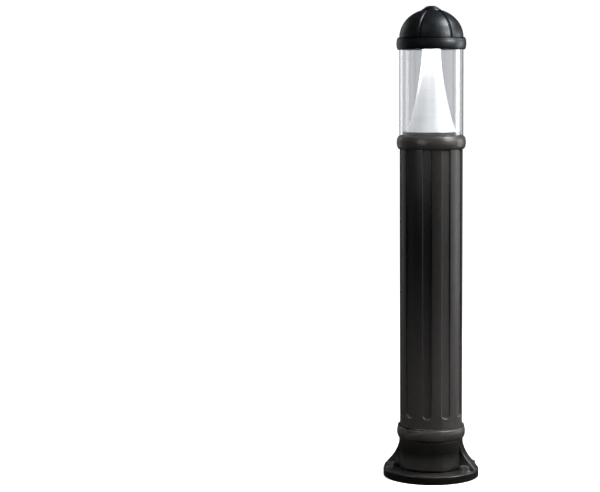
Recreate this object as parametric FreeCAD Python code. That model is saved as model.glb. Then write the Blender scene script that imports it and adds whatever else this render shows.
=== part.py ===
import FreeCAD, Part
import math
import os
from FreeCAD import Vector as V

# Bollard light, 1 m tall: bolted cast base, fluted hollow post, clear lantern
# with a trumpet reflector on a central tie rod, ribbed dome cap and finial.
# Millimetres, +Z up, origin at the centre of the base's underside.

# ------------------------------------------------------------- dimensions
# base casting
FLANGE_R, FLANGE_H = 102.0, 17.5
FLANGE_EDGE_R = 2.2
DRUM_R, DRUM_TOP = 68.2, 83.0
DRUM_FOOT_R = 8.0                     # convex rounding at the drum's foot
BEAD_MAX_R, BEAD_MIN_R = 73.0, 67.4   # half-round bead on top of the drum
BASE_TOP = 111.0
BASE_MOUTH_R, BASE_CAVITY_R = 52.0, 58.0
DECK_Z, CABLE_R = 99.0, 30.0          # deck under the post, cable bore
WING_HALF_W = 17.0
ANCHOR_X, ANCHOR_Y, ANCHOR_HOLE_R = 80.0, 31.0, 6.5
ANCHOR_WASHER_R, ANCHOR_WASHER_H = 12.0, 2.5
ANCHOR_NUT_AF, ANCHOR_NUT_H, ANCHOR_NUT_BORE_R = 19.0, 10.0, 6.1
# post
POST_R, POST_BORE_R = 66.5, 58.0
POST_Z0, POST_Z1 = 112.0, 700.5
POST_FLANGE_H, POST_FLANGE_R = 12.0, 34.0
FLUTES, FLUTE_W, FLUTE_DEPTH = 10, 19.5, 3.4
FLUTE_Z0, FLUTE_Z1 = 132.0, 703.0    # the arched tops run out under the collar
FLUTE_PHASE = 5.5                     # degrees from -Y towards +X
FOOT_SCREW_PCR, FOOT_SCREW_R = 45.0, 4.0
# lantern seat
COLLAR_Z0, COLLAR_Z1 = 700.5, 728.5
COLLAR_MID = 714.5
COLLAR_MAX_R, COLLAR_MIN_R = 73.0, 67.2
SPIGOT_R, SPIGOT_TOP = 61.3, 736.8
SEAT_POCKET_R, SEAT_POCKET_Z = 34.0, 727.5
SEAT_SCREW_PCR, SEAT_SCREW_R = 46.0, 3.0
# lantern
TUBE_R, TUBE_BORE_R = 67.5, 63.5
TUBE_Z0, TUBE_Z1 = 730.0, 925.0
TRUMPET = [(736.8, 53.0), (740.6, 51.3), (749.3, 48.1), (758.4, 44.9),
           (768.7, 41.8), (780.6, 38.6), (793.8, 35.6), (807.4, 32.7),
           (821.6, 30.0), (836.6, 27.4), (852.1, 25.1), (868.0, 22.9),
           (884.1, 21.0), (896.6, 19.8), (908.4, 18.9), (918.0, 18.3)]
TRUMPET_T = 1.2
ROD_R, ROD_BORE_R, ROD_Z0, ROD_Z1 = 5.0, 2.5, 715.5, 983.0
SINK_R, SINK_Z0, SINK_T, SINK_TOP = 60.0, 918.0, 5.0, 941.0
BOARD_R0, BOARD_R1, BOARD_T = 26.0, 54.0, 1.6
LED_RING_R, LED_COUNT = 41.0, 18
LENS_Z0 = 912.0
# cap
CAP_Z0, CAP_RING_TOP = 909.0, 934.5
CAP_MAX_R, CAP_MIN_R = 73.4, 69.4
DOME_A, DOME_B, DOME_T = 67.4, 60.0, 4.5
CAP_LEDGE_Z, CAP_LEDGE_R, CAP_BORE_R = 926.5, 61.5, 67.8
GROOVES, GROOVE_PHASE = 6, -9.0
GROOVE_HALF_W, GROOVE_DEPTH = 5.6, 2.7
CAP_FLAT_Z, CAP_FLAT_R = 989.5, 20.7
CAP_BOSS_R, CAP_BOSS_Z, CAP_HOLE_R = 12.0, 968.0, 7.2
# finial
WASHER_R, WASHER_Z0, WASHER_Z1 = 20.3, 989.5, 994.4
KNOB_R, KNOB_STEM_R, KNOB_STEM_Z, KNOB_BORE_R = 15.6, 6.6, 975.0, 5.06
TOP_Z = 1000.0
# control gear inside the post
TRAY_X, TRAY_T, TRAY_HALF_W, TRAY_Z1 = 36.0, 2.5, 32.0, 430.0

os.makedirs("parts", exist_ok=True)


# ---------------------------------------------------------------- helpers
def deg(a):
    return math.radians(a)


def pt(r, z):
    return V(r, 0, z)


def line(a, b):
    return Part.LineSegment(pt(*a), pt(*b)).toShape()


def arc(a, b, c):
    return Part.Arc(pt(*a), pt(*b), pt(*c)).toShape()


def spline(points, t0=None, t1=None):
    curve = Part.BSplineCurve()
    pts = [pt(*p) for p in points]
    if t0 is not None:
        curve.interpolate(Points=pts, InitialTangent=V(t0[0], 0, t0[1]),
                          FinalTangent=V(t1[0], 0, t1[1]))
    else:
        curve.interpolate(Points=pts)
    return curve.toShape()


def revolve(edges):
    face = Part.Face(Part.Wire(edges))
    solid = face.revolve(V(0, 0, 0), V(0, 0, 1), 360)
    if solid.Volume < 0:
        solid.reverse()
    return Part.Solid(solid.Shells[0]) if solid.ShapeType != "Solid" else solid


def revolve_poly(points):
    n = len(points)
    return revolve([line(points[i], points[(i + 1) % n]) for i in range(n)])


def cyl(r, z0, z1, x=0.0, y=0.0):
    return Part.makeCylinder(r, z1 - z0, V(x, y, z0))


def ring(r0, r1, z0, z1):
    return cyl(r1, z0, z1).cut(cyl(r0, z0 - 1, z1 + 1))


def box(x0, x1, y0, y1, z0, z1):
    return Part.makeBox(x1 - x0, y1 - y0, z1 - z0, V(x0, y0, z0))


def hexagon(af, z0, z1, x=0.0, y=0.0, turn=0.0):
    r = af / math.sqrt(3)
    pts = [V(x + r * math.cos(deg(turn + 60 * k)),
             y + r * math.sin(deg(turn + 60 * k)), z0) for k in range(7)]
    return Part.Face(Part.makePolygon(pts)).extrude(V(0, 0, z1 - z0))


def hex_nut(af, bore, z0, z1, x=0.0, y=0.0, turn=0.0):
    """Hexagon with its corners turned down at 30 degrees on both faces."""
    body = hexagon(af, z0, z1, x, y, turn)
    rc = af / math.sqrt(3)
    c = (rc - af / 2) * math.tan(deg(30)) + 0.15
    lim = revolve_poly([(0, z0), (af / 2 - 0.2, z0), (rc + 0.2, z0 + c),
                        (rc + 0.2, z1 - c), (af / 2 - 0.2, z1), (0, z1)])
    lim.translate(V(x, y, 0))
    return body.common(lim).cut(cyl(bore, z0 - 1, z1 + 1, x, y))


def polar(r, a):
    """Point at angle a degrees, measured from -Y towards +X."""
    return r * math.sin(deg(a)), -r * math.cos(deg(a))


def about_z(shape, a):
    s = shape.copy()
    s.rotate(V(0, 0, 0), V(0, 0, 1), a)
    return s


def cap_screw(r, head_r, head_h, x, y, z_seat, z_tip, up=True):
    """Socket head screw; the head stands above z_seat when up is true."""
    if up:
        s = cyl(r, z_tip, z_seat, x, y).fuse(
            cyl(head_r, z_seat, z_seat + head_h, x, y))
        s = s.cut(hexagon(r * 1.6, z_seat + head_h * 0.45,
                          z_seat + head_h + 1, x, y))
    else:
        s = cyl(r, z_seat, z_tip, x, y).fuse(
            cyl(head_r, z_seat - head_h, z_seat, x, y))
        s = s.cut(hexagon(r * 1.6, z_seat - head_h - 1,
                          z_seat - head_h * 0.45, x, y))
    return s.removeSplitter()


def half_ellipse(r0, r1, z0, z1, n=10, a0=-90.0, a1=90.0):
    """Points of a bulge from (r0, z0) out to r1 and back to (r0, z1)."""
    zc, h = (z0 + z1) / 2, (z1 - z0) / 2
    return [(r0 + (r1 - r0) * math.cos(deg(a0 + (a1 - a0) * k / n)),
             zc + h * math.sin(deg(a0 + (a1 - a0) * k / n)))
            for k in range(n + 1)]


nodes = {}


def put(name, shapes):
    if not isinstance(shapes, (list, tuple)):
        shapes = [shapes]
    solids = []
    for s in shapes:
        s = s.removeSplitter() if s.ShapeType == "Compound" else s
        solids.extend(s.Solids)
    for s in solids:
        if not s.isValid():
            print("INVALID", name)
        if s.Volume < 0:
            s.reverse()
    shape = solids[0] if len(solids) == 1 else Part.makeCompound(solids)
    nodes[name] = shape
    shape.exportStep("parts/%s.step" % name)
    b = shape.BoundBox
    print("%-22s solids %2d  vol %10.0f  z %.1f..%.1f r<=%.1f" % (
        name, len(solids), sum(s.Volume for s in solids), b.ZMin, b.ZMax,
        max(abs(b.XMin), b.XMax)))


# ------------------------------------------------------------ base casting
e = FLANGE_EDGE_R
foot_r = DRUM_R - DRUM_FOOT_R
k = math.sqrt(0.5)
bead = half_ellipse(BEAD_MIN_R, BEAD_MAX_R, DRUM_TOP, BASE_TOP)
profile = [
    line((BASE_MOUTH_R, 0), (FLANGE_R - 1, 0)),
    line((FLANGE_R - 1, 0), (FLANGE_R, 1)),
    line((FLANGE_R, 1), (FLANGE_R, FLANGE_H - e)),
    arc((FLANGE_R, FLANGE_H - e),
        (FLANGE_R - e + e * k, FLANGE_H - e + e * k),
        (FLANGE_R - e, FLANGE_H)),
    line((FLANGE_R - e, FLANGE_H), (foot_r + 1.0, FLANGE_H)),
    line((foot_r + 1.0, FLANGE_H), (foot_r + 1.0, FLANGE_H + 1.0)),
    arc((foot_r + 1.0, FLANGE_H + 1.0),
        (foot_r + 0.2 + DRUM_FOOT_R * k, FLANGE_H + 1.4 + DRUM_FOOT_R * (1 - k)),
        (DRUM_R, FLANGE_H + 1.5 + DRUM_FOOT_R)),
    line((DRUM_R, FLANGE_H + 1.5 + DRUM_FOOT_R), (DRUM_R, DRUM_TOP - 0.6)),
    line((DRUM_R, DRUM_TOP - 0.6), (BEAD_MIN_R, DRUM_TOP)),
    spline(bead, (1, 0), (-1, 0)),
    line((BEAD_MIN_R, BASE_TOP), (CABLE_R, BASE_TOP)),
    line((CABLE_R, BASE_TOP), (CABLE_R, DECK_Z)),
    line((CABLE_R, DECK_Z), (BASE_CAVITY_R, DECK_Z)),
    line((BASE_CAVITY_R, DECK_Z), (BASE_CAVITY_R, 24)),
    line((BASE_CAVITY_R, 24), (BASE_MOUTH_R, 18)),
    line((BASE_MOUTH_R, 18), (BASE_MOUTH_R, 0)),
]
base = revolve(profile)

# two claw wings on +X and -X with a hollow-curved back
wing_curve = [(66.4, 75.5), (67.5, 70.3), (68.9, 66.0), (70.2, 61.6),
              (72.2, 57.2), (74.5, 52.9), (77.1, 48.5), (80.2, 44.1),
              (83.7, 39.7), (87.6, 35.4), (91.2, 31.0), (95.3, 26.6),
              (98.4, 22.6)]
wing_face = Part.Face(Part.Wire([
    spline(wing_curve),
    line((98.4, 22.6), (99.6, 19.4)),
    line((99.6, 19.4), (99.6, FLANGE_H - 1)),
    line((99.6, FLANGE_H - 1), (59.5, FLANGE_H - 1)),
    line((59.5, FLANGE_H - 1), (59.5, 75.5)),
    line((59.5, 75.5), (66.4, 75.5)),
]))
wing = wing_face.extrude(V(0, 2 * WING_HALF_W, 0))
wing.translate(V(0, -WING_HALF_W, 0))
long_edges = []
for ed in wing.Edges:
    b = ed.BoundBox
    flat = abs(b.YMax - b.YMin) < 1e-3
    if flat and b.XMin > 64.0 and (b.ZMax - b.ZMin) > 1.0:
        long_edges.append(ed)
try:
    wing_r = wing.makeFillet(3.0, long_edges)
    if wing_r.isValid() and wing_r.Volume > 0:
        wing = wing_r
except Exception as ex:
    print("wing fillet skipped", ex)
for a in (0, 180):
    w = about_z(wing, a)
    # keep the wing clear of the hollow inside the drum
    w = w.cut(cyl(BASE_CAVITY_R + 0.5, 0, 120))
    base = base.fuse(w)
for sx in (-1, 1):
    for sy in (-1, 1):
        base = base.cut(cyl(ANCHOR_HOLE_R, -1, FLANGE_H + 1,
                            sx * ANCHOR_X, sy * ANCHOR_Y))
foot_xy = [polar(FOOT_SCREW_PCR, 45 + 90 * i) for i in range(4)]
for x, y in foot_xy:
    base = base.cut(cyl(FOOT_SCREW_R + 0.3, DECK_Z - 1, BASE_TOP + 1, x, y))
base = base.removeSplitter()
put("base_casting", base)

put("anchor_washers", [
    cyl(ANCHOR_WASHER_R, FLANGE_H, FLANGE_H + ANCHOR_WASHER_H,
        sx * ANCHOR_X, sy * ANCHOR_Y).cut(
        cyl(ANCHOR_HOLE_R, 0, 60, sx * ANCHOR_X, sy * ANCHOR_Y))
    for sx in (-1, 1) for sy in (-1, 1)])
nut_z = FLANGE_H + ANCHOR_WASHER_H
put("anchor_nuts", [
    hex_nut(ANCHOR_NUT_AF, ANCHOR_NUT_BORE_R, nut_z, nut_z + ANCHOR_NUT_H,
            sx * ANCHOR_X, sy * ANCHOR_Y, turn)
    for sx, sy, turn in ((-1, -1, 8), (-1, 1, 22), (1, -1, 14), (1, 1, 3))])

put("foot_gasket", ring(51.0, 66.0, BASE_TOP, POST_Z0))

# -------------------------------------------------------------------- post
POST_BLANK_Z = POST_Z1 + 14.0         # left long, trimmed once it is fluted
post = revolve_poly([
    (POST_FLANGE_R, POST_Z0), (POST_R, POST_Z0), (POST_R, POST_BLANK_Z),
    (POST_FLANGE_R, POST_BLANK_Z), (POST_FLANGE_R, POST_Z1 - POST_FLANGE_H),
    (POST_BORE_R, POST_Z1 - POST_FLANGE_H - 8),
    (POST_BORE_R, POST_Z0 + POST_FLANGE_H),
    (POST_FLANGE_R, POST_Z0 + POST_FLANGE_H)])
h = FLUTE_W / 2
x_floor = POST_R - FLUTE_DEPTH
stadium = Part.Wire([
    Part.LineSegment(V(x_floor, -h, FLUTE_Z0 + h), V(x_floor, -h, FLUTE_Z1 - h)).toShape(),
    Part.Arc(V(x_floor, -h, FLUTE_Z1 - h), V(x_floor, 0, FLUTE_Z1), V(x_floor, h, FLUTE_Z1 - h)).toShape(),
    Part.LineSegment(V(x_floor, h, FLUTE_Z1 - h), V(x_floor, h, FLUTE_Z0 + h)).toShape(),
    Part.Arc(V(x_floor, h, FLUTE_Z0 + h), V(x_floor, 0, FLUTE_Z0), V(x_floor, -h, FLUTE_Z0 + h)).toShape(),
])
flute = Part.Face(stadium).extrude(V(10, 0, 0))
inner = [ed for ed in flute.Edges if abs(ed.BoundBox.XMin - x_floor) < 1e-3
         and abs(ed.BoundBox.XMax - x_floor) < 1e-3]
flute = flute.makeFillet(2.2, inner)
for i in range(FLUTES):
    # +X direction is 90 degrees on the "from -Y towards +X" scale
    post = post.cut(about_z(flute, FLUTE_PHASE + 360.0 / FLUTES * i - 90))
lip = []
for ed in post.Edges:
    b = ed.BoundBox
    if b.ZMin < POST_Z0 + 5 or b.ZMax > POST_BLANK_Z - 2:
        continue
    ok = True
    for p in ed.discretize(7):
        if abs(math.hypot(p.x, p.y) - POST_R) > 1e-3:
            ok = False
            break
    if ok:
        lip.append(ed)
try:
    rounded = post.makeFillet(0.9, lip)
    if rounded.isValid() and rounded.Volume > 0:
        post = rounded
        print("flute lips rounded:", len(lip))
except Exception as ex:
    print("flute lip rounding skipped", ex)
post = post.cut(box(-90, 90, -90, 90, POST_Z1, POST_BLANK_Z + 5))
for x, y in foot_xy:
    post = post.cut(cyl(FOOT_SCREW_R + 0.05, POST_Z0 - 1,
                        POST_Z0 + POST_FLANGE_H - 0.0 + 1, x, y))
seat_xy = [polar(SEAT_SCREW_PCR, 60 + 120 * i) for i in range(3)]
for x, y in seat_xy:
    post = post.cut(cyl(SEAT_SCREW_R + 0.05, POST_Z1 - POST_FLANGE_H - 9,
                        POST_Z1 + 1, x, y))
TRAY_SCREW_XY = [(47.0, -13.0), (47.0, 13.0)]
for x, y in TRAY_SCREW_XY:
    post = post.cut(cyl(2.05, POST_Z0 + 3, POST_Z0 + POST_FLANGE_H + 1, x, y))
put("post_column", post)
put("post_foot_screws", [
    cap_screw(FOOT_SCREW_R, 6.5, 7.5, x, y, DECK_Z,
              POST_Z0 + POST_FLANGE_H, up=False) for x, y in foot_xy])

# ------------------------------------------------------------ lantern seat
lower = half_ellipse(COLLAR_MIN_R, COLLAR_MAX_R, COLLAR_Z0, COLLAR_Z1, 7, -90, -1.5)
zl = lower[-1][1]
collar = revolve([
    spline(lower, (1, 0), (0, 1)),
    line(lower[-1], (COLLAR_MAX_R - 0.5, COLLAR_MID)),
    line((COLLAR_MAX_R - 0.5, COLLAR_MID), (38.0, COLLAR_MID)),
    line((38.0, COLLAR_MID), (38.0, COLLAR_Z0)),
    line((38.0, COLLAR_Z0), (COLLAR_MIN_R, COLLAR_Z0)),
])
for x, y in seat_xy:
    collar = collar.cut(cyl(SEAT_SCREW_R + 0.3, COLLAR_Z0 - 1, COLLAR_MID + 1, x, y))
put("column_top_collar", collar)

upper = half_ellipse(COLLAR_MIN_R, COLLAR_MAX_R, COLLAR_Z0, COLLAR_Z1, 7, 1.5, 90)
seat = revolve([
    line((COLLAR_MAX_R - 0.5, COLLAR_MID), upper[0]),
    spline(upper, (0, 1), (-1, 0)),
    line((COLLAR_MIN_R, COLLAR_Z1), (SPIGOT_R, COLLAR_Z1)),
    line((SPIGOT_R, COLLAR_Z1), (SPIGOT_R, SPIGOT_TOP - 1)),
    line((SPIGOT_R, SPIGOT_TOP - 1), (SPIGOT_R - 1, SPIGOT_TOP)),
    line((SPIGOT_R - 1, SPIGOT_TOP), (ROD_R + 0.3, SPIGOT_TOP)),
    line((ROD_R + 0.3, SPIGOT_TOP), (ROD_R + 0.3, SEAT_POCKET_Z)),
    line((ROD_R + 0.3, SEAT_POCKET_Z), (SEAT_POCKET_R, SEAT_POCKET_Z)),
    line((SEAT_POCKET_R, SEAT_POCKET_Z), (SEAT_POCKET_R, COLLAR_MID)),
    line((SEAT_POCKET_R, COLLAR_MID), (COLLAR_MAX_R - 0.5, COLLAR_MID)),
])
LEAD_X = 11.5                          # the lamp lead runs beside the rod
for x, y in seat_xy:
    seat = seat.cut(cyl(SEAT_SCREW_R + 0.3, COLLAR_MID - 1, SPIGOT_TOP + 1, x, y))
    seat = seat.cut(cyl(5.4, SPIGOT_TOP - 7.0, SPIGOT_TOP + 1, x, y))
seat = seat.cut(cyl(3.0, SEAT_POCKET_Z - 1, SPIGOT_TOP + 1, LEAD_X, 0))
put("lantern_seat", seat)
put("seat_screws", [
    cap_screw(SEAT_SCREW_R, 5.0, 6.0, x, y, SPIGOT_TOP - 7.0,
              POST_Z1 - POST_FLANGE_H - 2) for x, y in seat_xy])
put("tube_seat_gasket", ring(61.7, 67.2, COLLAR_Z1, TUBE_Z0))

# ---------------------------------------------------------------- lantern
outer = [(r, z) for z, r in TRUMPET]
inner_p = []
for i, (r, z) in enumerate(outer):
    a = outer[max(i - 1, 0)]
    b = outer[min(i + 1, len(outer) - 1)]
    dx, dz = b[0] - a[0], b[1] - a[1]
    n = math.hypot(dx, dz)
    # inward normal of a profile running upwards
    inner_p.append((r - dz / n * TRUMPET_T, z + dx / n * TRUMPET_T))
inner_p[0] = (outer[0][0] - 1.35, outer[0][1])
inner_p[-1] = (outer[-1][0] - TRUMPET_T, outer[-1][1])
trumpet = revolve([
    spline(outer),
    line(outer[-1], inner_p[-1]),
    spline(inner_p[::-1]),
    line(inner_p[0], outer[0]),
])
put("reflector_trumpet", trumpet)

rod = ring(ROD_BORE_R, ROD_R, ROD_Z0, ROD_Z1)
put("tie_rod", rod)
sink_top = SINK_Z0 + SINK_T
put("tie_rod_nuts", [
    hex_nut(17.0, ROD_R + 0.02, SEAT_POCKET_Z - 8.0, SEAT_POCKET_Z, turn=10),
    hex_nut(17.0, ROD_R + 0.02, SPIGOT_TOP, SPIGOT_TOP + 5.0, turn=25),
    hex_nut(17.0, ROD_R + 0.02, sink_top, sink_top + 8.0, turn=30)])

sink = ring(ROD_R + 0.2, SINK_R, SINK_Z0, sink_top)
for i in range(12):
    fin = box(20.0, SINK_R - 6, -1.0, 1.0, sink_top - 0.5, SINK_TOP)
    sink = sink.fuse(about_z(fin, 30 * i + 15))
sink = sink.cut(cyl(3.0, SINK_Z0 - 1, sink_top + 1, LEAD_X, 0))
BOARD_SCREWS = [polar(30.5, 30 + 120 * i) for i in range(3)]
for x, y in BOARD_SCREWS:
    sink = sink.cut(cyl(1.55, SINK_Z0 - 1, SINK_Z0 + 4, x, y))
put("lamp_heat_sink", sink)

board_z = SINK_Z0 - BOARD_T
board = ring(BOARD_R0, BOARD_R1, board_z, SINK_Z0)
for x, y in BOARD_SCREWS:
    board = board.cut(cyl(1.7, board_z - 1, SINK_Z0 + 1, x, y))
put("led_board", board)
chips = []
for i in range(LED_COUNT):
    c = box(LED_RING_R - 1.75, LED_RING_R + 1.75, -1.75, 1.75, board_z - 0.8, board_z)
    chips.append(about_z(c, 360.0 / LED_COUNT * i))
put("led_chips", chips)
lens = revolve_poly([
    (35.5, board_z), (35.5, LENS_Z0 + 0.6), (36.1, LENS_Z0), (47.4, LENS_Z0),
    (48.0, LENS_Z0 + 0.6), (48.0, board_z), (45.8, board_z),
    (44.8, board_z - 2.2), (38.0, board_z - 2.2), (37.2, board_z)])
put("led_lens_ring", lens)
put("board_screws", [
    cap_screw(1.5, 2.8, 2.2, x, y, board_z, SINK_Z0 + 3.6, up=False)
    for x, y in BOARD_SCREWS])

tube = revolve_poly([
    (TUBE_BORE_R, TUBE_Z0 + 0.4), (TUBE_BORE_R + 0.4, TUBE_Z0),
    (TUBE_R - 0.4, TUBE_Z0), (TUBE_R, TUBE_Z0 + 0.4),
    (TUBE_R, TUBE_Z1 - 0.4), (TUBE_R - 0.4, TUBE_Z1),
    (TUBE_BORE_R + 0.4, TUBE_Z1), (TUBE_BORE_R, TUBE_Z1 - 0.4)])
put("diffuser_tube", tube)

# -------------------------------------------------------------------- cap
ring_pts = half_ellipse(CAP_MIN_R, CAP_MAX_R, CAP_Z0, CAP_RING_TOP)


def ellipse_pts(a, b, zc, r_end, n=12, r_start=None):
    """Points of a dome profile, from the rim in to radius r_end."""
    t0 = 0.0 if r_start is None else math.acos(r_start / a)
    t1 = math.acos(r_end / a)
    return [(a * math.cos(t0 + (t1 - t0) * i / n),
             zc + b * math.sin(t0 + (t1 - t0) * i / n)) for i in range(n + 1)]


out_pts = ellipse_pts(DOME_A, DOME_B, CAP_RING_TOP, CAP_FLAT_R)
in_a, in_b = CAP_LEDGE_R, DOME_B - DOME_T
in_pts = ellipse_pts(in_a, in_b, CAP_RING_TOP, CAP_BOSS_R)
t_out = math.acos(CAP_FLAT_R / DOME_A)
t_in = math.acos(CAP_BOSS_R / in_a)
cap = revolve([
    line((CAP_BORE_R, CAP_Z0), (CAP_MIN_R, CAP_Z0)),
    spline(ring_pts, (1, 0), (-1, 0)),
    line((CAP_MIN_R, CAP_RING_TOP), (DOME_A, CAP_RING_TOP)),
    spline(out_pts, (0, 1), (-DOME_A * math.sin(t_out), DOME_B * math.cos(t_out))),
    line(out_pts[-1], (CAP_FLAT_R, CAP_FLAT_Z)),
    line((CAP_FLAT_R, CAP_FLAT_Z), (CAP_HOLE_R, CAP_FLAT_Z)),
    line((CAP_HOLE_R, CAP_FLAT_Z), (CAP_HOLE_R, CAP_BOSS_Z)),
    line((CAP_HOLE_R, CAP_BOSS_Z), (CAP_BOSS_R, CAP_BOSS_Z)),
    line((CAP_BOSS_R, CAP_BOSS_Z), in_pts[-1]),
    spline(in_pts[::-1], (in_a * math.sin(t_in), -in_b * math.cos(t_in)), (0, -1)),
    line(in_pts[0], (CAP_LEDGE_R, CAP_LEDGE_Z)),
    line((CAP_LEDGE_R, CAP_LEDGE_Z), (CAP_BORE_R, CAP_LEDGE_Z)),
    line((CAP_BORE_R, CAP_LEDGE_Z), (CAP_BORE_R, CAP_Z0)),
])
# six V grooves with soft lips, swept down the dome's profile
path_pts = [(DOME_A * math.cos(t), CAP_RING_TOP + DOME_B * math.sin(t))
            for t in [deg(a) for a in range(0, 82, 9)]]
path = Part.Wire([spline(path_pts, (0, 1), (-math.sin(deg(81)) * DOME_A,
                                             math.cos(deg(81)) * DOME_B))])
w, d = GROOVE_HALF_W, GROOVE_DEPTH
R = (w * w + d * d) / (2 * d)
half_angle = math.asin(w / R) / 2
mid_x, mid_d = w - R * math.sin(half_angle), R * (1 - math.cos(half_angle))


def gp(off, depth):
    """Groove section point at the dome's rim: across, and depth inwards."""
    return V(DOME_A - depth, off, CAP_RING_TOP)


section = Part.Wire([
    Part.LineSegment(gp(-w, 0), gp(-w, -3)).toShape(),
    Part.LineSegment(gp(-w, -3), gp(w, -3)).toShape(),
    Part.LineSegment(gp(w, -3), gp(w, 0)).toShape(),
    Part.Arc(gp(w, 0), gp(mid_x, mid_d), gp(0.35, d - 0.25)).toShape(),
    Part.LineSegment(gp(0.35, d - 0.25), gp(-0.35, d - 0.25)).toShape(),
    Part.Arc(gp(-0.35, d - 0.25), gp(-mid_x, mid_d), gp(-w, 0)).toShape(),
])
groove = path.makePipeShell([section], True, False)
if groove.Volume < 0:
    groove.reverse()
for i in range(GROOVES):
    cap = cap.cut(about_z(groove, GROOVE_PHASE + 60 * i - 90))
put("cap_dome", cap)
put("cap_gasket", ring(62.0, 67.2, TUBE_Z1, CAP_LEDGE_Z))

# ----------------------------------------------------------------- finial
washer = revolve_poly([
    (CAP_HOLE_R, WASHER_Z0), (WASHER_R, WASHER_Z0), (WASHER_R, 991.8),
    (WASHER_R - 0.5, 992.9), (WASHER_R - 1.4, 993.8), (WASHER_R - 2.4, WASHER_Z1),
    (CAP_HOLE_R, WASHER_Z1)])
put("finial_washer", washer)
KZ = WASHER_Z1
knob = revolve([
    line((0, TOP_Z), (0, 992.0)),
    line((0, 992.0), (KNOB_BORE_R, 992.0)),
    line((KNOB_BORE_R, 992.0), (KNOB_BORE_R, KNOB_STEM_Z)),
    line((KNOB_BORE_R, KNOB_STEM_Z), (KNOB_STEM_R, KNOB_STEM_Z)),
    line((KNOB_STEM_R, KNOB_STEM_Z), (KNOB_STEM_R, KZ)),
    line((KNOB_STEM_R, KZ), (KNOB_R - 0.4, KZ)),
    line((KNOB_R - 0.4, KZ), (KNOB_R, KZ + 0.5)),
    spline([(KNOB_R, KZ + 0.5), (KNOB_R - 0.35, KZ + 1.5), (14.2, 996.7),
            (12.6, 997.7), (9.6, 998.8), (6.0, 999.6), (0, TOP_Z)],
           (0, 1), (-1, 0)),
])
put("finial_knob", knob)

# ------------------------------------------- control gear inside the post
gz = POST_Z0 + POST_FLANGE_H            # top of the post's lower flange
tray = box(TRAY_X, TRAY_X + TRAY_T, -TRAY_HALF_W, TRAY_HALF_W, gz, TRAY_Z1)
tray = tray.fuse(box(TRAY_X, TRAY_X + 18, -20, 20, gz, gz + TRAY_T))
for x, y in TRAY_SCREW_XY:
    tray = tray.cut(cyl(2.2, gz - 1, gz + TRAY_T + 1, x, y))


def x_hole(shape, r, x0, x1, y, z):
    return shape.cut(Part.makeCylinder(r, x1 - x0, V(x0, y, z), V(1, 0, 0)))


def x_screw(r, head_r, head_h, x_seat, x_tip, y, z):
    """Pan head screw pointing along +X with its head on the -X side."""
    s = Part.makeCylinder(r, x_tip - x_seat, V(x_seat, y, z), V(1, 0, 0))
    return s.fuse(Part.makeCylinder(head_r, head_h, V(x_seat - head_h, y, z),
                                    V(1, 0, 0))).removeSplitter()


DRIVER = (6.0, TRAY_X, -26.0, 26.0, 255.0, 385.0)
driver_holes = [(0.0, 249.5), (0.0, 390.5)]
clamp_z, clamp_y = 150.0, 16.0
block = (16.0, TRAY_X, -20.0, 20.0, 178.0, 208.0)
for y, z in driver_holes:
    tray = x_hole(tray, 1.95, TRAY_X - 1, TRAY_X + TRAY_T + 1, y, z)
for s in (-1, 1):
    tray = x_hole(tray, 1.95, TRAY_X - 1, TRAY_X + TRAY_T + 1, s * clamp_y, clamp_z)
    tray = x_hole(tray, 1.55, TRAY_X - 1, TRAY_X + TRAY_T + 1, s * 14.0, 193.0)
tray = x_hole(tray, 2.55, TRAY_X - 1, TRAY_X + TRAY_T + 1, 24.0, 232.0)
put("gear_tray", tray.removeSplitter())
put("tray_screws", [cap_screw(2.0, 3.5, 4.0, x, y, gz + TRAY_T, POST_Z0 + 4)
                    for x, y in TRAY_SCREW_XY])

drv = box(*DRIVER)
drv = drv.makeFillet(3.0, [ed for ed in drv.Edges
                           if ed.BoundBox.XMin < 6.01 and ed.BoundBox.XMax < 6.01])
for z0, z1 in ((243.0, 255.0), (385.0, 397.0)):
    drv = drv.fuse(box(TRAY_X - 3.0, TRAY_X, -12, 12, z0, z1))
for y, z in driver_holes:
    drv = x_hole(drv, 2.1, TRAY_X - 4, TRAY_X + 1, y, z)
put("led_driver", drv.removeSplitter())
put("driver_screws", [x_screw(1.9, 3.4, 2.2, TRAY_X - 3.0, TRAY_X + 6, y, z)
                      for y, z in driver_holes])

blk = box(*block)
for s in (-1, 0, 1):
    blk = blk.cut(Part.makeCylinder(2.6, 8, V(block[0] - 1, s * 7.0, 185.0), V(1, 0, 0)))
    blk = blk.cut(Part.makeCylinder(2.6, 8, V(block[0] - 1, s * 7.0, 201.0), V(1, 0, 0)))
for s in (-1, 1):
    blk = blk.cut(Part.makeCylinder(1.7, 30, V(block[0] - 1, s * 14.0, 193.0), V(1, 0, 0)))
put("terminal_block", blk)
put("terminal_screws", [x_screw(1.5, 2.7, 2.0, block[0], TRAY_X + 5, s * 14.0, 193.0)
                        for s in (-1, 1)])

sad = box(22.0, TRAY_X, -22, 22, clamp_z - 6, clamp_z + 6)
sad = sad.cut(box(21, 31.5, -23, -10.5, 100, 200)).cut(box(21, 31.5, 10.5, 23, 100, 200))
sad = sad.cut(box(27.0, TRAY_X + 1, -6.5, 6.5, 100, 200))
for s in (-1, 1):
    sad = sad.cut(Part.makeCylinder(2.1, 20, V(28, s * clamp_y, clamp_z), V(1, 0, 0)))
put("cable_clamp", sad.removeSplitter())
put("clamp_screws", [x_screw(1.9, 3.4, 2.2, 31.5, TRAY_X + 6, s * clamp_y, clamp_z)
                     for s in (-1, 1)])

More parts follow.
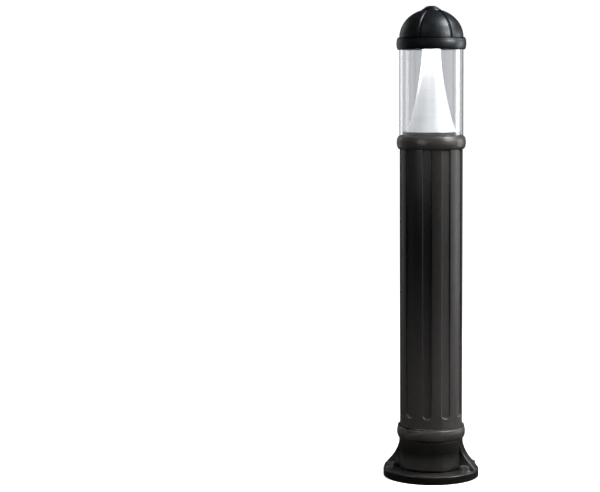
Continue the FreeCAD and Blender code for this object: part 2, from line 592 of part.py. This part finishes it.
stud = Part.makeCylinder(2.5, 20, V(TRAY_X - 14, 24.0, 232.0), V(1, 0, 0))
stud = stud.fuse(Part.makeCylinder(4.6, 3.0, V(TRAY_X - 3, 24.0, 232.0), V(1, 0, 0)))
put("earth_stud", stud.removeSplitter())
nutx = hex_nut(8.0, 2.52, 0, 4.0)
nutx.rotate(V(0, 0, 0), V(0, 1, 0), 90)
nutx.translate(V(TRAY_X - 7.5, 24.0, 232.0))
put("earth_nut", nutx)


def lead(points, r):
    """Round lead through points, straight runs joined by tangent arcs."""
    pts = [V(*p) for p in points]
    edges = []
    start = pts[0]
    for i in range(1, len(pts) - 1):
        a, b = pts[i] - pts[i - 1], pts[i + 1] - pts[i]
        la, lb = a.Length, b.Length
        u, v = V(a).normalize(), V(b).normalize()
        turn = u.getAngle(v)
        rad = 0.45 * min(la, lb) / math.tan(turn / 2)
        cut = rad * math.tan(turn / 2)
        p0, p1 = pts[i] - u * cut, pts[i] + v * cut
        inward = (v - u).normalize()
        centre = pts[i] + inward * (rad / math.cos(turn / 2))
        mid = centre - inward * rad
        if (p0 - start).Length > 1e-6:
            edges.append(Part.LineSegment(start, p0).toShape())
        edges.append(Part.Arc(p0, mid, p1).toShape())
        start = p1
        print("   lead bend radius %.1f" % rad)
    edges.append(Part.LineSegment(start, pts[-1]).toShape())
    wire = Part.Wire(edges)
    direction = (pts[1] - pts[0]).normalize()
    circle = Part.Wire([Part.Circle(pts[0], direction, r).toShape()])
    s = wire.makePipeShell([circle], True, False)
    if s.Volume < 0:
        s.reverse()
    print("   lead volume ratio %.4f" % (s.Volume / (wire.Length * math.pi * r * r)))
    return s


# lamp lead: driver output, up the post, through the seat and the reflector
put("lamp_lead", lead([
    (22.0, 10.0, 385.0), (22.0, 10.0, 415.0), (20.0, 6.5, 455.0),
    (14.5, -2.5, 510.0), (10.5, -5.5, 570.0), (11.0, -2.5, 630.0),
    (LEAD_X, 0.0, 690.0), (LEAD_X, 0.0, sink_top + 6.0)], 2.0))
# link from the terminal block up to the driver input
put("input_lead", lead([
    (22.0, -7.0, 208.0), (22.0, -7.0, 222.0), (20.0, -11.0, 238.0),
    (20.0, -11.0, 255.0)], 2.4))
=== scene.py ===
import math

import bmesh
import bpy
from mathutils import Matrix, Vector


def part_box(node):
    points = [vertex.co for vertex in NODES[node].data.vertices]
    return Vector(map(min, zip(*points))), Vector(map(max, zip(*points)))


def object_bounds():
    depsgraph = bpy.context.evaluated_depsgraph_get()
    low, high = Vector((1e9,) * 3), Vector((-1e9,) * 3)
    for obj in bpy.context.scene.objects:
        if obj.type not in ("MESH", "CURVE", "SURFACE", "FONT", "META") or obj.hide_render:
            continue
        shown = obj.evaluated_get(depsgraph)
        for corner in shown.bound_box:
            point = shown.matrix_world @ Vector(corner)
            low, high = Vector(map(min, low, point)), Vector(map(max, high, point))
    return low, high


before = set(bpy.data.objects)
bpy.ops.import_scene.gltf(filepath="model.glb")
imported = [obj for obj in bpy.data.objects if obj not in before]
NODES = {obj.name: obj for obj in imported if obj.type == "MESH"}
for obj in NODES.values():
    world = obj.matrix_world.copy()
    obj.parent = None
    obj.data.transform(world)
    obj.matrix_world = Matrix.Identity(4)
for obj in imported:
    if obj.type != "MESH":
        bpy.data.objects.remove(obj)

CAD_LO, CAD_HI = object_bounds()
scene = bpy.context.scene
scene.unit_settings.system = "METRIC"
scene.view_settings.view_transform = "Standard"
scene.view_settings.look = "None"
scene.view_settings.exposure = 0.0
scene.view_settings.gamma = 1.0


# ------------------------------------------------------------- node helpers
def new_mat(name):
    m = bpy.data.materials.new(name)
    m.use_nodes = True
    nt = m.node_tree
    nt.nodes.clear()
    out = nt.nodes.new("ShaderNodeOutputMaterial")
    return m, nt, out


def N(nt, kind, **kw):
    n = nt.nodes.new(kind)
    for k, v in kw.items():
        setattr(n, k, v)
    return n


def L(nt, a, b):
    nt.links.new(a, b)


def coords(nt, scale=(1, 1, 1)):
    tc = N(nt, "ShaderNodeTexCoord")
    mp = N(nt, "ShaderNodeMapping")
    mp.inputs["Scale"].default_value = scale
    L(nt, tc.outputs["Object"], mp.inputs["Vector"])
    return mp.outputs["Vector"]


def noise(nt, vec, scale, detail=4.0, rough=0.55, dist=0.0):
    n = N(nt, "ShaderNodeTexNoise")
    n.inputs["Scale"].default_value = scale
    n.inputs["Detail"].default_value = detail
    n.inputs["Roughness"].default_value = rough
    n.inputs["Distortion"].default_value = dist
    L(nt, vec, n.inputs["Vector"])
    return n.outputs["Fac"]


def ramp(nt, fac, stops, interp="LINEAR"):
    r = N(nt, "ShaderNodeValToRGB")
    cr = r.color_ramp
    cr.interpolation = interp
    while len(cr.elements) < len(stops):
        cr.elements.new(0.5)
    for e, (p, c) in zip(cr.elements, stops):
        e.position = p
        e.color = (*c, 1.0) if len(c) == 3 else c
    L(nt, fac, r.inputs["Fac"])
    return r.outputs["Color"]


def grey(v):
    return (v, v, v)


def mapr(nt, fac, a, b, c, d):
    m = N(nt, "ShaderNodeMapRange")
    m.inputs["From Min"].default_value = a
    m.inputs["From Max"].default_value = b
    m.inputs["To Min"].default_value = c
    m.inputs["To Max"].default_value = d
    L(nt, fac, m.inputs["Value"])
    return m.outputs["Result"]


def math_n(nt, op, a, b=None):
    m = N(nt, "ShaderNodeMath", operation=op)
    for i, v in enumerate((a, b)):
        if v is None:
            continue
        if isinstance(v, (int, float)):
            m.inputs[i].default_value = v
        else:
            L(nt, v, m.inputs[i])
    return m.outputs[0]


def mix_col(nt, fac, a, b, mode="MIX"):
    m = N(nt, "ShaderNodeMix", data_type="RGBA", blend_type=mode)
    if isinstance(fac, (int, float)):
        m.inputs[0].default_value = fac
    else:
        L(nt, fac, m.inputs[0])
    for i, v in ((6, a), (7, b)):
        if isinstance(v, tuple):
            m.inputs[i].default_value = (*v, 1.0) if len(v) == 3 else v
        else:
            L(nt, v, m.inputs[i])
    return m.outputs[2]


def bump(nt, height, strength, dist, normal=None):
    b = N(nt, "ShaderNodeBump")
    b.inputs["Strength"].default_value = strength
    b.inputs["Distance"].default_value = dist
    L(nt, height, b.inputs["Height"])
    if normal is not None:
        L(nt, normal, b.inputs["Normal"])
    return b.outputs["Normal"]


def soft_edge(nt, radius):
    b = N(nt, "ShaderNodeBevel")
    b.samples = 4
    b.inputs["Radius"].default_value = radius
    return b.outputs["Normal"]


def principled(nt, out):
    p = N(nt, "ShaderNodeBsdfPrincipled")
    L(nt, p.outputs["BSDF"], out.inputs["Surface"])
    return p


# ---------------------------------------------------------------- materials
def powder_coat(name, dark, light, rough=(0.42, 0.56), grain=0.35, edge=0.0006,
                wave=0.25, dust=0.0, tone=None, painted_sheen_bands=None,
                spec_tint=(1.0, 1.0, 1.0)):
    """Black textured powder coat: sandy micro bump, slow waviness of the casting,
    faint mottling, thin dust where the surface looks up."""
    m, nt, out = new_mat(name)
    p = principled(nt, out)
    v = coords(nt)
    fine = noise(nt, v, 950.0, 3.0, 0.65)
    mid = noise(nt, v, 260.0, 4.0, 0.6)
    slow = noise(nt, v, 28.0, 3.0, 0.5)
    vor = N(nt, "ShaderNodeTexVoronoi")
    vor.inputs["Scale"].default_value = 520.0
    L(nt, v, vor.inputs["Vector"])
    col = ramp(nt, mid, [(0.32, dark), (0.72, light)])
    speck = ramp(nt, fine, [(0.66, grey(0.0)), (0.80, grey(1.0))])
    col = mix_col(nt, math_n(nt, "MULTIPLY", speck, 0.35), col,
                  tuple(min(1.0, c * 2.6 + 0.01) for c in light))
    if dust > 0:
        geo = N(nt, "ShaderNodeNewGeometry")
        sep = N(nt, "ShaderNodeSeparateXYZ")
        L(nt, geo.outputs["Normal"], sep.inputs[0])
        up = mapr(nt, sep.outputs["Z"], 0.55, 1.0, 0.0, 1.0)
        patch = mapr(nt, slow, 0.35, 0.7, 0.2, 1.0)
        col = mix_col(nt, math_n(nt, "MULTIPLY", math_n(nt, "MULTIPLY", up, patch), dust),
                      col, (0.16, 0.15, 0.14))
    if tone:
        # painted light and shade up the height of the piece: the colour is scaled by a factor
        # at each height, (height in metres, factor)
        tc = N(nt, "ShaderNodeTexCoord")
        sz = N(nt, "ShaderNodeSeparateXYZ")
        L(nt, tc.outputs["Object"], sz.inputs[0])
        top = tone[-1][0]
        wob = math_n(nt, "ADD", sz.outputs["Z"], mapr(nt, slow, 0.3, 0.7, -0.004, 0.004))
        k = ramp(nt, mapr(nt, wob, 0.0, top, 0.0, 1.0),
                 [(h / top, grey(f / 4.0)) for h, f in tone])
        col = mix_col(nt, 1.0, col, k, "MULTIPLY")
        col = mix_col(nt, 1.0, col, grey(4.0), "MULTIPLY")
    L(nt, col, p.inputs["Base Color"])
    r = mapr(nt, mid, 0.3, 0.7, rough[0], rough[1])
    r2 = math_n(nt, "ADD", r, mapr(nt, slow, 0.3, 0.7, -0.03, 0.03))
    L(nt, r2, p.inputs["Roughness"])
    n0 = soft_edge(nt, edge)
    n1 = bump(nt, slow, wave, 0.0007, n0)
    n2 = bump(nt, vor.outputs["Distance"], grain, 0.00022, n1)
    n3 = bump(nt, fine, grain, 0.00022, n2)
    L(nt, n3, p.inputs["Normal"])
    p.inputs["Specular IOR Level"].default_value = 0.5
    p.inputs["Specular Tint"].default_value = (*spec_tint, 1.0)
    if painted_sheen_bands:
        # painted shine and shade: reflection strength set in bands up the height of the piece,
        # (height in metres, level)
        t2 = N(nt, "ShaderNodeTexCoord")
        s2 = N(nt, "ShaderNodeSeparateXYZ")
        L(nt, t2.outputs["Object"], s2.inputs[0])
        hi = painted_sheen_bands[-1][0]
        lv = ramp(nt, mapr(nt, s2.outputs["Z"], 0.0, hi, 0.0, 1.0),
                  [(h / hi, grey(f)) for h, f in painted_sheen_bands])
        L(nt, lv, p.inputs["Specular IOR Level"])
    return m


def metal(name, base, rough, brushed=(1, 1, 1), tone=0.08, grain=0.1, metallic=1.0):
    m, nt, out = new_mat(name)
    p = principled(nt, out)
    v = coords(nt, brushed)
    a = noise(nt, v, 600.0, 4.0, 0.6)
    b = noise(nt, coords(nt), 60.0, 3.0, 0.5)
    dark = tuple(c * (1 - tone * 3) for c in base)
    col = ramp(nt, b, [(0.3, dark), (0.65, base)])
    L(nt, col, p.inputs["Base Color"])
    p.inputs["Metallic"].default_value = metallic
    L(nt, mapr(nt, a, 0.3, 0.7, rough * 0.8, rough * 1.25), p.inputs["Roughness"])
    L(nt, bump(nt, a, grain, 0.0001, soft_edge(nt, 0.0003)), p.inputs["Normal"])
    return m


def plastic(name, base, rough=0.45, tone=0.06, grain=0.15, scale=420.0):
    m, nt, out = new_mat(name)
    p = principled(nt, out)
    v = coords(nt)
    a = noise(nt, v, scale, 4.0, 0.6)
    b = noise(nt, v, 45.0, 3.0, 0.5)
    dark = tuple(c * (1 - tone * 2.5) for c in base)
    L(nt, ramp(nt, b, [(0.3, dark), (0.7, base)]), p.inputs["Base Color"])
    L(nt, mapr(nt, a, 0.3, 0.7, rough * 0.85, rough * 1.15), p.inputs["Roughness"])
    L(nt, bump(nt, a, grain, 0.00012, soft_edge(nt, 0.0004)), p.inputs["Normal"])
    return m


def reflector(name):
    """Spun aluminium with a satin white finish and faint turning lines."""
    m, nt, out = new_mat(name)
    p = principled(nt, out)
    v = coords(nt)
    rings = noise(nt, coords(nt, (0.02, 0.02, 1.0)), 900.0, 3.0, 0.6)
    cloud = noise(nt, v, 14.0, 3.0, 0.5)
    L(nt, ramp(nt, cloud, [(0.3, (0.56, 0.564, 0.574)), (0.7, (0.63, 0.632, 0.64))]),
      p.inputs["Base Color"])
    p.inputs["Metallic"].default_value = 0.25
    L(nt, mapr(nt, rings, 0.3, 0.7, 0.26, 0.36), p.inputs["Roughness"])
    L(nt, bump(nt, rings, 0.12, 0.0001), p.inputs["Normal"])
    return m


def clear_tube(name):
    """Clear extruded tube with faint draw lines along its length; its grey tint is painted
    shade for the dim surroundings seen through the clear tube.
    """
    m, nt, out = new_mat(name)
    p = N(nt, "ShaderNodeBsdfPrincipled")
    streak = noise(nt, coords(nt, (1.0, 1.0, 0.006)), 120.0, 4.0, 0.62)
    broad = noise(nt, coords(nt, (1.0, 1.0, 0.01)), 26.0, 3.0, 0.55)
    fine = noise(nt, coords(nt, (1.0, 1.0, 0.01)), 420.0, 3.0, 0.6)
    both = math_n(nt, "ADD", math_n(nt, "MULTIPLY", streak, 0.72),
                  math_n(nt, "MULTIPLY", broad, 0.28))
    # painted shade: the grey tint of the clear tube, streaked by the draw lines along its
    # length
    col = ramp(nt, both, [(0.34, (0.63, 0.641, 0.655)), (0.66, (0.77, 0.778, 0.787))])
    L(nt, col, p.inputs["Base Color"])
    p.inputs["Transmission Weight"].default_value = 1.0
    p.inputs["IOR"].default_value = 1.46
    L(nt, mapr(nt, fine, 0.3, 0.7, 0.0, 0.035), p.inputs["Roughness"])
    L(nt, bump(nt, streak, 0.10, 0.0002), p.inputs["Normal"])
    lp = N(nt, "ShaderNodeLightPath")
    tr = N(nt, "ShaderNodeBsdfTransparent")
    tr.inputs["Color"].default_value = (0.86, 0.87, 0.88, 1.0)
    mix = N(nt, "ShaderNodeMixShader")
    L(nt, lp.outputs["Is Shadow Ray"], mix.inputs[0])
    L(nt, p.outputs["BSDF"], mix.inputs[1])
    L(nt, tr.outputs["BSDF"], mix.inputs[2])
    L(nt, mix.outputs[0], out.inputs["Surface"])
    return m


def glow(name, colour, strength):
    m, nt, out = new_mat(name)
    p = principled(nt, out)
    v = coords(nt)
    a = noise(nt, v, 300.0, 3.0, 0.5)
    L(nt, ramp(nt, a, [(0.3, tuple(c * 0.93 for c in colour)), (0.7, colour)]),
      p.inputs["Base Color"])
    p.inputs["Roughness"].default_value = 0.4
    p.inputs["Emission Color"].default_value = (*colour, 1.0)
    p.inputs["Emission Strength"].default_value = strength
    return m


# painted light and shade on the base casting: its tone bands darken the flange and the upper
# drum and lighten the lower drum, the bead and the ring
cast = powder_coat("cast_black_coat", (0.0075, 0.0068, 0.0064), (0.016, 0.0148, 0.014),
                   rough=(0.31, 0.42), dust=0.05,
                   tone=[(0.0, 0.2), (0.016, 0.3), (0.021, 1.5), (0.036, 1.4),
                         (0.056, 0.35), (0.080, 0.5), (0.088, 1.9), (0.111, 2.1)],
                   # painted shine and shade on the base casting: weaker reflections on the
                   # flange and upper drum, stronger on the lower drum, the bead and the ring
                   painted_sheen_bands=[(0.0, 0.16), (0.015, 0.25), (0.019, 0.50), (0.040, 0.46),
                          (0.058, 0.16), (0.078, 0.20), (0.087, 0.5), (0.111, 0.55)])
# painted light: the collar and the lantern seat get a lighter copy of the same black coat, more
# than twice as bright as the post coat, to look lit
collar_coat_painted_light = powder_coat("collar_black_coat", (0.030, 0.0270, 0.0254), (0.054, 0.0494, 0.0466),
                          rough=(0.31, 0.42), dust=0.05)
cap_coat = powder_coat("cap_black_coat", (0.0028, 0.0035, 0.0044), (0.0060, 0.0078, 0.0098),
                       rough=(0.34, 0.46), dust=0.0, spec_tint=(0.88, 0.95, 1.0))
post_coat = powder_coat("post_black_coat", (0.010, 0.0090, 0.0084), (0.021, 0.0192, 0.018),
                        rough=(0.40, 0.52), dust=0.0)
hardware = metal("blackened_steel", (0.38, 0.38, 0.38), 0.28, tone=0.10, metallic=0.9)
steel = metal("zinc_steel", (0.62, 0.62, 0.60), 0.32)
bare_alu = metal("mill_aluminium", (0.78, 0.78, 0.79), 0.38, brushed=(1, 1, 0.05))
brass = metal("brass_stud", (0.80, 0.58, 0.26), 0.3)
gasket = plastic("gasket_rubber", (0.018, 0.018, 0.018), 0.7)
white_board = plastic("white_solder_mask", (0.86, 0.86, 0.84), 0.35)
driver_case = plastic("driver_case_plastic", (0.80, 0.80, 0.77), 0.5)
terminal = plastic("terminal_plastic", (0.74, 0.73, 0.68), 0.45)
black_plastic = plastic("black_nylon", (0.02, 0.02, 0.02), 0.5)
sheath = plastic("lead_sheath", (0.62, 0.62, 0.60), 0.55)
mirror_white = reflector("satin_reflector")
tube_mat = clear_tube("clear_tube")
led = glow("led_phosphor", (1.0, 0.97, 0.88), 12.0)
lens = glow("frosted_lens", (0.98, 0.98, 0.97), 4.0)

MATS = {
    "base_casting": cast, "anchor_washers": hardware, "anchor_nuts": hardware,
    "foot_gasket": gasket, "post_column": post_coat, "post_foot_screws": steel,
    "column_top_collar": collar_coat_painted_light, "lantern_seat": collar_coat_painted_light, "seat_screws": steel,
    "tube_seat_gasket": gasket, "reflector_trumpet": mirror_white, "tie_rod": steel,
    "tie_rod_nuts": steel, "lamp_heat_sink": bare_alu, "led_board": white_board,
    "led_chips": led, "led_lens_ring": lens, "board_screws": steel,
    "diffuser_tube": tube_mat, "cap_dome": cap_coat, "cap_gasket": gasket,
    "finial_washer": cap_coat, "finial_knob": cap_coat, "gear_tray": bare_alu,
    "tray_screws": steel, "led_driver": driver_case, "driver_screws": steel,
    "terminal_block": terminal, "terminal_screws": steel, "cable_clamp": black_plastic,
    "clamp_screws": steel, "earth_stud": brass, "earth_nut": brass,
    "lamp_lead": sheath, "input_lead": sheath,
}
for name, obj in NODES.items():
    obj.data.materials.clear()
    obj.data.materials.append(MATS[name])

# -------------------------------------------------------------- stage, light
AZ = math.radians(13.0)          # the camera's side of the post


def around(rel_deg, dist, height):
    """Point at an azimuth relative to the camera, positive to its right."""
    a = AZ + math.radians(rel_deg)
    return Vector((dist * math.sin(a), -dist * math.cos(a), height))


def area(name, loc, target, sx, sy, power, colour=(1, 1, 1), spread=180.0, cam=False):
    ld = bpy.data.lights.new(name, "AREA")
    ld.shape = "RECTANGLE"
    ld.size, ld.size_y = sx, sy
    ld.energy = power
    ld.color = colour
    ld.spread = math.radians(spread)
    o = bpy.data.objects.new(name, ld)
    scene.collection.objects.link(o)
    o.location = loc
    d = (Vector(target) - Vector(loc)).normalized()
    o.rotation_euler = d.to_track_quat("-Z", "Y").to_euler()
    o.visible_camera = cam
    return o


# a pale floor: a flat disc of 30 m radius under the post
def sweep():
    bm = bmesh.new()
    R, n = 30.0, 96
    rings = []
    prof = [(0.0, 0.0), (0.5, 0.0), (1.2, 0.0), (3.0, 0.0), (8.0, 0.0), (R, 0.0)]
    for r, z in prof:
        if r == 0:
            rings.append([bm.verts.new((0, 0, z))])
        else:
            rings.append([bm.verts.new((r * math.cos(2 * math.pi * k / n),
                                        r * math.sin(2 * math.pi * k / n), z))
                          for k in range(n)])
    for a, b in zip(rings, rings[1:]):
        for k in range(n):
            k2 = (k + 1) % n
            if len(a) == 1:
                bm.faces.new((a[0], b[k], b[k2]))
            else:
                bm.faces.new((a[k], b[k], b[k2], a[k2]))
    me = bpy.data.meshes.new("stage_floor")
    bm.to_mesh(me)
    bm.free()
    o = bpy.data.objects.new("stage_floor", me)
    scene.collection.objects.link(o)
    o.location.z = CAD_LO.z - 0.0002
    return o


floor = sweep()
fm, nt, out = new_mat("pale_floor")
d0 = N(nt, "ShaderNodeBsdfDiffuse")
d0.inputs["Color"].default_value = (0.80, 0.80, 0.80, 1)
em = N(nt, "ShaderNodeEmission")
em.inputs["Color"].default_value = (1, 1, 1, 1)
fg = N(nt, "ShaderNodeNewGeometry")
fl = N(nt, "ShaderNodeVectorMath", operation="LENGTH")
L(nt, fg.outputs["Position"], fl.inputs[0])
# painted shade around the post: the floor's glow is 0.80 within 0.15 m of the centre and rises
# to 1.03 by 1.6 m
L(nt, mapr(nt, fl.outputs["Value"], 0.15, 1.6, 0.80, 1.03), em.inputs["Strength"])
d1 = N(nt, "ShaderNodeAddShader")
L(nt, d0.outputs[0], d1.inputs[0])
L(nt, em.outputs[0], d1.inputs[1])
# painted shade in reflections: reflection rays, diffuse bounces included, see the floor
# near-black (0.012) instead of the lit white floor
d2 = N(nt, "ShaderNodeBsdfDiffuse")
d2.inputs["Color"].default_value = (0.012, 0.012, 0.012, 1)
lp = N(nt, "ShaderNodeLightPath")
mx = N(nt, "ShaderNodeMixShader")
L(nt, lp.outputs["Is Reflection Ray"], mx.inputs[0])
L(nt, d1.outputs[0], mx.inputs[1])
L(nt, d2.outputs[0], mx.inputs[2])
L(nt, mx.outputs[0], out.inputs["Surface"])
floor.data.materials.append(fm)

world = bpy.data.worlds.new("studio")
scene.world = world
world.use_nodes = True
wt = world.node_tree
wt.nodes.clear()
wo = N(wt, "ShaderNodeOutputWorld")
seen = N(wt, "ShaderNodeBackground")
seen.inputs["Color"].default_value = (1, 1, 1, 1)
seen.inputs["Strength"].default_value = 1.05
dim = N(wt, "ShaderNodeBackground")
dim.inputs["Color"].default_value = (0.95, 0.97, 1.0, 1)
dim.inputs["Strength"].default_value = 0.045
wl = N(wt, "ShaderNodeLightPath")
wm = N(wt, "ShaderNodeMixShader")
L(wt, wl.outputs["Is Reflection Ray"], wm.inputs[0])
L(wt, seen.outputs[0], wm.inputs[1])
L(wt, dim.outputs[0], wm.inputs[2])
L(wt, wm.outputs[0], wo.inputs["Surface"])

area("key_right", around(110, 2.2, 0.72), (0, 0, 0.38), 0.9, 1.3, 19)
area("key_ring", around(66, 2.0, 1.55), (0, 0, 0.72), 0.9, 0.7, 40)
area("key_high", around(84, 1.75, 2.9), (0, 0, 0.75), 0.62, 0.62, 86)
area("key_bead", around(64, 1.6, 1.0), (0, 0, 0.08), 0.34, 0.34, 0.42, spread=16.0)
area("rim_left", around(-136, 2.0, 0.9), (0, 0, 0.5), 0.7, 2.0, 4.5)
area("left_soft", around(-104, 2.6, 0.9), (0, 0, 0.5), 1.0, 1.6, 1)
area("front_high", around(-34, 2.4, 3.0), (0, 0, 0.2), 1.4, 1.4, 4.5)
area("front_low", around(-48, 1.6, 1.35), (0, 0, 0.05), 0.26, 0.26, 0.30, spread=14.0)
area("collar_soft", around(-30, 2.0, 1.02), (0, 0, 0.716), 0.5, 0.2, 0.075, spread=8.0)

# the lit module: a disc of light just under the lens ring, shining down
LENS_LO, LENS_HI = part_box("led_lens_ring")
lamp = bpy.data.lights.new("module_glow", "AREA")
lamp.shape = "DISK"
lamp.size = 0.092
lamp.energy = 0.6
lamp.color = (1.0, 0.985, 0.95)
lo = bpy.data.objects.new("module_glow", lamp)
scene.collection.objects.link(lo)
lo.location = (0, 0, LENS_LO.z - 0.002)
lo.visible_camera = False
lo.visible_glossy = False
lo.visible_transmission = False

side = bpy.data.lights.new("module_glow_side", "AREA")
side.shape = "DISK"
side.size = 0.03
side.energy = 0.45
so = bpy.data.objects.new("module_glow_side", side)
scene.collection.objects.link(so)
so.location = around(-62, 0.047, LENS_LO.z - 0.002)
so.visible_camera = so.visible_glossy = so.visible_transmission = False

# ------------------------------------------------------------------- camera
cd = bpy.data.cameras.new("camera")
cam = bpy.data.objects.new("camera", cd)
scene.collection.objects.link(cam)
scene.camera = cam
cd.sensor_fit = "HORIZONTAL"
cd.sensor_width = 36.0
cd.lens = 1720.0 / 600.0 * 36.0
cd.clip_start, cd.clip_end = 0.05, 200.0
cd.dof.use_dof = False
eye = around(0, 3.650, 0.845)
to = Vector((-eye.x, -eye.y, 0)).normalized()
to = Matrix.Rotation(math.radians(4.380), 3, "Z") @ to
right = to.cross(Vector((0, 0, 1))).normalized()
fwd = Matrix.Rotation(math.radians(-5.478), 3, right) @ to
up = right.cross(fwd).normalized()
roll = math.radians(-0.358)
r2 = (right * math.cos(roll) + up * math.sin(roll)).normalized()
u2 = r2.cross(fwd).normalized()
cam.matrix_world = Matrix((
    (r2.x, u2.x, -fwd.x, eye.x),
    (r2.y, u2.y, -fwd.y, eye.y),
    (r2.z, u2.z, -fwd.z, eye.z),
    (0, 0, 0, 1)))

bpy.context.view_layer.update()
